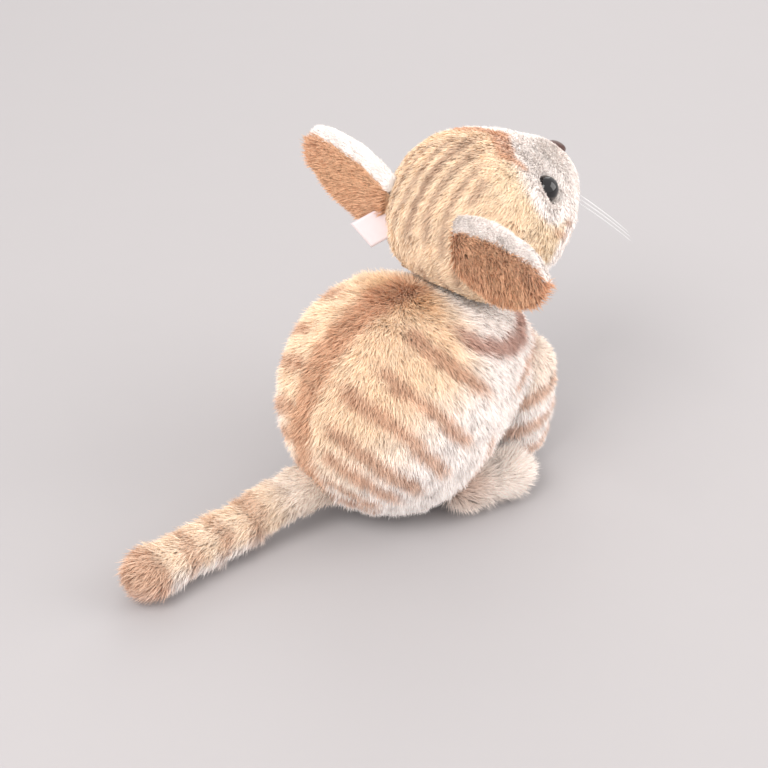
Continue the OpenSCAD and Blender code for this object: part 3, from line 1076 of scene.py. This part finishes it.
class CAT_OT_eyes(bpy.types.Operator):
    """Shiny black eye buttons on stems, and their washers inside the head"""

    bl_idname = "plush_cat.eyes"
    bl_label = "Eyes"

    def execute(self, context):
        gloss = grained("Eye black", (0.006, 0.005, 0.006), 0.002, 0.3, 0.06, 0.03, 0.0, coat=0.25)
        washer = grained("Washer plastic", (0.62, 0.62, 0.60), 0.0006, 0.08, 0.45, 0.2, 0.2)
        profile = [(0.0, 3.1)]
        profile += [(3.9 * math.sin(a), -0.8 + 3.9 * math.cos(a)) for a in np.linspace(0.12, math.pi / 2, 14)]
        profile += [(3.9, -0.95), (3.7, -1.1), (1.0, -1.1), (1.0, -7.4), (0.8, -7.8), (0.0, -8.0)]
        for side, word in ((1, "left"), (-1, "right")):
            at, way = eye_place(side)
            turn = np.array(Vector(way).to_track_quat("Z", "Y").to_matrix())
            count = 48
            around = np.linspace(0, 2 * math.pi, count, endpoint=False)
            rings = [
                [(r * math.cos(t), r * math.sin(t), z) for t in around]
                for r, z in profile[1:-1]
            ]
            ends = [(0, 0, profile[0][1]), (0, 0, profile[-1][1])]
            points = np.vstack([np.array(rings).reshape(-1, 3), ends])
            skin = loft_faces(len(rings), count)
            piece = plain_piece(f"eye_{word}_button", at + points @ turn.T, skin, gloss)
            seat(piece, "head", "eye_black", f"eye_{word}")
            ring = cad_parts[f"eye_washer_{word}"]
            ring.data.materials.clear()
            ring.data.materials.append(washer)
        return {"FINISHED"}


class CAT_OT_nose_and_mouth(bpy.types.Operator):
    """Small brown nose and the three thread runs of the mouth"""

    bl_idname = "plush_cat.nose_and_mouth"
    bl_label = "Nose and mouth"

    def execute(self, context):
        brown = grained("Nose brown", (0.075, 0.030, 0.024), 0.0005, 0.5, 0.42, 0.2, 0.35, coat=0.15)
        thread = grained("Mouth thread", (0.16, 0.07, 0.045), 0.0003, 0.5, 0.7, 0.2, 0.5, sheen=0.3)
        ways, faces = ball_mesh(4)
        x, y, z = ways.T
        narrow = np.where(z < 0, 1 + 0.45 * z, 1.0)
        shape = np.stack([3.5 * x * narrow, 1.8 * y, 1.7 * z - 0.25 * (1 - x * x) * (z > 0)], 1)
        piece = plain_piece("nose_button", from_head(shape + (0, -33.1, -2.7)), faces, brown)
        seat(piece, "head", "nose_brown", "nose")
        verts, faces = [], []
        for turn, length in ((0, 3.4), (58, -4.2), (-58, -4.2)):
            steps = np.linspace(0, 1, 14)
            way = turned(y=turn) @ turned(x=18) @ np.array([0, 0, 1.0])
            path = np.array([0, -32.9, -8.2]) + steps[:, None] * way * length
            path[:, 1] += 1.6 * (np.abs(path[:, 0]) / 4) ** 2
            turns = 0.06 * np.sin(steps * 34)
            v, f = tube(from_head(path), 0.36 + turns, 10)
            faces += (f + len(verts)).tolist()
            verts += v.tolist()
        piece = plain_piece("mouth_thread", verts, faces, thread)
        seat(piece, "head", "thread", "mouth_stitch")
        return {"FINISHED"}


class CAT_OT_whiskers(bpy.types.Operator):
    """Three thin clear whiskers on each side of the muzzle"""

    bl_idname = "plush_cat.whiskers"
    bl_label = "Whiskers"

    def execute(self, context):
        clear = grained("Whisker nylon", (0.86, 0.86, 0.88), 0.003, 0.06, 0.22, 0.1, 0.0, coat=0.4)
        for side, word in ((1, "left"), (-1, "right")):
            verts, faces = [], []
            for i in range(3):
                start = np.array([side * 10.6, -26.4 + 0.5 * i, -9 - 1.5 * i])
                way = turned(z=side * (84 - 4 * i)) @ turned(x=108 + 6 * i) @ np.array([0, 0, 1.0])
                t = np.linspace(0, 1, 22)
                path = from_head(start + t[:, None] * way * 20)
                path[:, 2] -= 2.2 * t**2
                v, f = tube(path, 0.13 - 0.08 * t, 8)
                faces += (f + len(verts)).tolist()
                verts += v.tolist()
            piece = plain_piece(f"whisker_set_{word}", verts, faces, clear)
            seat(piece, "head", "whisker", f"whiskers_{word}")
        return {"FINISHED"}


def ear_turn(side):
    flip = np.diag([float(side), 1.0, 1.0])
    return turned(z=-6) @ flip @ turned(y=-8) @ turned(z=3)


def ear_root(side):
    return HEAD + turned(z=-6) @ np.array([side * 18.5, 19.5, 6.5])


EAR_X = (-4.0, 0.0, 6.0, 12.0, 18.0, 24.0, 29.0, 32.2)
EAR_TOP = (7.0, 8.6, 9.8, 10.2, 9.7, 8.4, 6.4, 1.5)
EAR_BOTTOM = (-8.5, -10.6, -12.2, -12.4, -11.4, -9.2, -6.6, -1.8)
EAR_HALF_THICKNESS = 2.1
EAR_LINING_WRAP = 0.52


def ear_outline(x):
    """Top and lower edge of an ear at a distance from its root, smoothed."""
    fine = np.linspace(EAR_X[0], EAR_X[-1], 200)
    soft = np.ones(9) / 9
    edges = []
    for values in (EAR_TOP, EAR_BOTTOM):
        line = np.interp(fine, EAR_X, values)
        line[4:-4] = np.convolve(line, soft, "valid")
        edges.append(np.interp(x, fine, line))
    blunt = np.sqrt(np.clip(1 - np.clip((x - 26) / (EAR_X[-1] - 26), 0, 1) ** 3, 0.004, 1))
    middle = (edges[0] + edges[1]) / 2
    return middle, (edges[0] - edges[1]) / 2 * blunt


def ear_half(side, back):
    """One fabric layer of an ear. The lining wraps over the top edge on to the back."""
    xs = np.concatenate([np.linspace(-4, 26, 34), 26 + 6.2 * np.sin(np.linspace(0, math.pi / 2, 12))[1:]])
    seam = math.acos(EAR_LINING_WRAP)
    outside = np.linspace(seam, math.pi, 22) if back else np.linspace(seam, -math.pi, 34)
    inside = np.linspace(-1, EAR_LINING_WRAP, 9)[1:]
    rings, free = [], []
    for x in xs:
        middle, half = ear_outline(x)
        thick = EAR_HALF_THICKNESS * (1 - 0.35 * max(x, 0) / 32) * min(1, half / 4) ** 0.5
        z = np.concatenate([np.cos(outside), inside])
        round_y = np.sign(np.sin(outside)) * np.abs(np.sin(outside)) ** 0.75
        y = np.concatenate([round_y, np.zeros(len(inside))])
        dish = -0.9 * (1 - z**2) * min(1, max(x, 0) / 8)
        rings.append(np.stack([np.full(len(z), x), y * thick + dish, middle + half * z], 1))
        free.append(np.arange(len(z)) < len(outside))
    count = len(rings[0])
    local = np.vstack(rings + [rings[0].mean(axis=0)[None], rings[-1].mean(axis=0)[None]])
    faces = loft_faces(len(rings), count)
    free = np.concatenate(free + [[False, True]])
    outer = free[faces].all(axis=1)
    if back == (side > 0):
        faces = faces[:, ::-1]
    return local, faces, outer


class CAT_OT_ears(bpy.types.Operator):
    """Ears: a ginger back and a white lining that wraps over the top edge"""

    bl_idname = "plush_cat.ears"
    bl_label = "Ears"

    def execute(self, context):
        s, c = context.scene.cat_pile, coat_of(context)
        for side, word in ((1, "left"), (-1, "right")):
            turn, root = ear_turn(side), ear_root(side)
            for back in (True, False):
                local, faces, outer = ear_half(side, back)
                verts = root + local @ turn.T
                x = local[:, 0]
                clear = step(head_field(verts), -2.0, -0.4)
                name = f"ear_{'outer' if back else 'inner'}_{word}"
                if back:
                    colour = np.tile(c.ginger, (len(verts), 1))
                    shade = 0.5 + 0.5 * ripple(local, 3.5, 23)
                    colour = paint(colour, 0.25 * shade, np.array(c.gold))
                    tips = np.full(len(verts), 0.85)
                else:
                    colour = np.tile(c.white, (len(verts), 1))
                    tips = np.zeros(len(verts))
                flow = np.tile(turn @ np.array([1.0, 0, 0]), (len(verts), 1))
                flow += (local[:, 2] / 12)[:, None] * (turn @ np.array([0, 0, 0.6]))
                piece = grow_pile(
                    name, verts, faces, outer, flow, clear, 0.85 + 0.25 * step(x, 22, 32), colour, tips,
                    ginger_pile() if back else cream_pile(),
                    s.ear_back_length if back else s.ear_front_length,
                    0.52 if back else 0.62, ruffle=0.42 if back else 0.3, dense=1.15 if back else 1.5,
                    wide=0.9 if back else 0.7, clump=0.003,
                )
                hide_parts(name)
                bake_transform(piece)
        return {"FINISHED"}


class CAT_OT_tail(bpy.types.Operator):
    """Tail: the near part at the root and the long far part"""

    bl_idname = "plush_cat.tail"
    bl_label = "Tail"

    def execute(self, context):
        s, c = context.scene.cat_pile, coat_of(context)
        near = TAIL_BEND - TAIL_ROOT
        t = np.linspace(-0.85, 0.95, 34)
        path = TAIL_ROOT + t[:, None] * near
        path[:, 2] += 1.0 * np.sin(np.clip(t, 0, 1) * math.pi) - 1.6 * np.clip(-t, 0, 1)
        end_cap = np.sqrt(np.clip(1 - np.clip((t - 0.62) / 0.34, 0, 0.999) ** 2, 0.01, 1))
        radii = (5.2 + 0.5 * np.clip(-t, 0, 1)) * end_cap
        self.grow(
            "tail_root_skin", path, radii, c, s, 0.8, ("torso", "tail_base"),
            TAIL_ROOT - 0.6 * near, TAIL_ROOT + 0.4 * near, "tail_root_stuffing",
        )
        straight = TAIL_END_LENGTH - 7.2
        quarter = math.pi / 2
        u = np.concatenate([
            -4.6 * np.cos(np.linspace(0, quarter, 8))[:-1],
            np.linspace(0, straight, 36),
            straight + 5.6 * np.sin(np.linspace(0, quarter, 9))[1:],
        ])
        path = TAIL_BEND + u[:, None] * TAIL_WAY
        bulb = 0.5 * step(u, 24, 31)
        start_cap = np.sqrt(np.clip(1 - np.clip(-u / 4.6, 0, 0.999) ** 2, 0.01, 1))
        past = np.clip((u - straight) / 5.6, 0, 0.999)
        end_cap = np.sqrt(np.clip(1 - past**2, 0.01, 1))
        radii = (5.0 + bulb) * start_cap * end_cap
        self.grow(
            "tail_end_skin", path, radii, c, s, 1.0, ("tail_base", "tail_end"),
            TAIL_BEND - 3 * TAIL_WAY, TAIL_BEND + 6 * TAIL_WAY, "tail_end_stuffing",
        )
        return {"FINISHED"}

    def grow(self, name, path, radii, c, s, fluff, bodies, start, end, stuffing):
        verts, faces = tube(path, radii, 40)
        colour, tips = tail_coat(verts, c)
        way = np.gradient(path, axis=0)
        flow = np.repeat(way, 40, axis=0)
        flow = np.vstack([flow, way[:1], way[-1:]])
        flow /= np.linalg.norm(flow, axis=1)[:, None]
        pile = step(torso_field(verts), -4.5, -2.0)
        last = step(verts[:, 1], 76, 84)
        reach = fluff * (0.85 + 0.2 * last)
        piece = grow_pile(
            name, verts, faces, np.ones(len(faces), bool), flow, pile, reach, colour, tips,
            striped_pile(),
            s.tail_length, 0.56, ruffle=0.5, clump=0.0038,
        )
        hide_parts(name, stuffing)
        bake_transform(piece)


class CAT_OT_tag(bpy.types.Operator):
    """Blank satin tag, folded once and sewn into the seam behind the left ear"""

    bl_idname = "plush_cat.tag"
    bl_label = "Tag"

    def execute(self, context):
        at = np.array([16.3, -15.2, 79.3])
        out = np.array([0.417, 0.821, -0.392])
        along = np.array([-0.779, -0.155, -0.607])
        face = np.cross(out, along)
        flat = np.linspace(-2.0, 7.3, 18)
        fold = 7.75 + 0.16 * np.sin(np.linspace(-1.2, 1.2, 5))
        rows = np.concatenate([flat, fold, flat[::-1]])
        bend = 0.17 * np.cos(np.linspace(0.3, math.pi - 0.3, 5))
        gap = np.concatenate([np.full(18, 0.17), bend, np.full(18, -0.17)])
        outline = []
        for layer in (0.05, -0.05):
            for r, g in zip(rows, gap):
                swing = 0.35 * math.sin(max(r, 0) / 7.9 * 2.4)
                outline.append((r, g + np.sign(g) * layer + swing))
        n = len(rows)
        across = np.linspace(-4.5, 4.5, 12)
        verts = np.array([
            at + out * r + face * g + along * a
            for layer in (0, 1) for r, g in outline[layer * n:(layer + 1) * n] for a in across
        ])
        w = len(across)
        faces = []
        for i in range(n - 1):
            for j in range(w - 1):
                a = i * w + j
                b = n * w + a
                faces += [[a, a + 1, a + w + 1, a + w], [b, b + w, b + w + 1, b + 1]]
        for i in range(n - 1):
            for j, flip in ((0, 1), (w - 1, 0)):
                a, b = i * w + j, (i + 1) * w + j
                faces.append([a, b, b + n * w, a + n * w] if flip else [a, a + n * w, b + n * w, b])
        for j in range(w - 1):
            for i in (0, n - 1):
                a = i * w + j
                faces.append([a, a + 1, a + 1 + n * w, a + n * w])
        piece = plain_piece("satin_tag", verts, faces, satin())
        mesh = piece.data
        layer = mesh.uv_layers.new(name="Weave")
        for loop in mesh.loops:
            p = np.array(mesh.vertices[loop.vertex_index].co) / MM - at
            layer.data[loop.index].uv = (float(p @ along) / 9, float(p @ out) / 9)
        seat(piece, "head", "satin", "label_tag")
        return {"FINISHED"}


class CAT_OT_stage(bpy.types.Operator):
    """Plain pale floor, soft studio lights and the camera"""

    bl_idname = "plush_cat.stage"
    bl_label = "Stage"

    def execute(self, context):
        s = context.scene.cat_stage
        scene = context.scene
        bm = bmesh.new()
        bmesh.ops.create_grid(bm, x_segments=8, y_segments=8, size=3.0)
        mesh = bpy.data.meshes.new("floor")
        bm.to_mesh(mesh)
        bm.free()
        mesh.materials.append(grained("Plain floor", tuple(s.floor), 0.02, 0.02, 0.75, 0.05, 0.0))
        floor = bpy.data.objects.new("floor", mesh)
        scene.collection.objects.link(floor)
        world = bpy.data.worlds.new("Studio")
        world.use_nodes = True
        world.node_tree.nodes["Background"].inputs["Color"].default_value = (1.0, 0.985, 0.97, 1)
        world.node_tree.nodes["Background"].inputs["Strength"].default_value = s.ambient
        scene.world = world
        target = Vector((0.0008, 0.0008, 0.0385))
        back = Vector((
            math.sin(s.azimuth) * math.cos(s.elevation),
            -math.cos(s.azimuth) * math.cos(s.elevation),
            math.sin(s.elevation),
        ))
        for name, place, size, power in (
            ("key", (-0.05, 0.55, 0.75), 0.45, s.key_power),
            ("fill", (-0.6, -0.55, 0.45), 0.7, s.key_power * 0.95),
            ("front", (0.5, -0.6, 0.5), 0.6, s.key_power * 0.35),
        ):
            lamp = bpy.data.lights.new(name, "AREA")
            lamp.size, lamp.energy, lamp.color = size, power, (1.0, 0.98, 0.95)
            o = bpy.data.objects.new(name, lamp)
            o.location = place
            o.rotation_euler = (Vector(place) - target).to_track_quat("Z", "Y").to_euler()
            scene.collection.objects.link(o)
        view = bpy.data.cameras.new("view")
        view.sensor_width = 36
        view.lens = 18 / math.tan(s.view_angle / 2)
        view.clip_start, view.clip_end = 0.01, 10
        camera = bpy.data.objects.new("view", view)
        camera.location = target + back * s.distance
        camera.rotation_euler = back.to_track_quat("Z", "Y").to_euler()
        scene.collection.objects.link(camera)
        scene.camera = camera
        scene.view_settings.view_transform = "Standard"
        return {"FINISHED"}


class CAT_PT_panel(bpy.types.Panel):
    """Lists the pieces of the plush cat"""

    bl_idname = "CAT_PT_panel"
    bl_label = "Plush cat"
    bl_space_type = "VIEW_3D"
    bl_region_type = "UI"
    bl_category = "Plush cat"

    def draw(self, context):
        for group in (context.scene.cat_pile, context.scene.cat_coat, context.scene.cat_stage):
            box = self.layout.box()
            for name in group.bl_rna.properties.keys():
                if name not in {"rna_type", "name"}:
                    box.prop(group, name)
        for operator in OPERATORS:
            self.layout.operator(operator.bl_idname)


OPERATORS = (
    CAT_OT_stage, CAT_OT_torso, CAT_OT_front_legs, CAT_OT_hind_feet, CAT_OT_head, CAT_OT_eyes,
    CAT_OT_nose_and_mouth, CAT_OT_whiskers, CAT_OT_ears, CAT_OT_tail, CAT_OT_tag,
)
GROUPS = (("cat_pile", CatPile), ("cat_coat", CatCoat), ("cat_stage", CatStage))


def register():
    for name, group in GROUPS:
        bpy.utils.register_class(group)
        setattr(bpy.types.Scene, name, PointerProperty(type=group))
    for cls in (*OPERATORS, CAT_PT_panel):
        bpy.utils.register_class(cls)


def unregister():
    for cls in (CAT_PT_panel, *reversed(OPERATORS)):
        bpy.utils.unregister_class(cls)
    for name, group in reversed(GROUPS):
        delattr(bpy.types.Scene, name)
        bpy.utils.unregister_class(group)


def main():
    register()
    for operator in OPERATORS:
        family, name = operator.bl_idname.split(".")
        getattr(getattr(bpy.ops, family), name)()


if __name__ == "__main__":
    main()
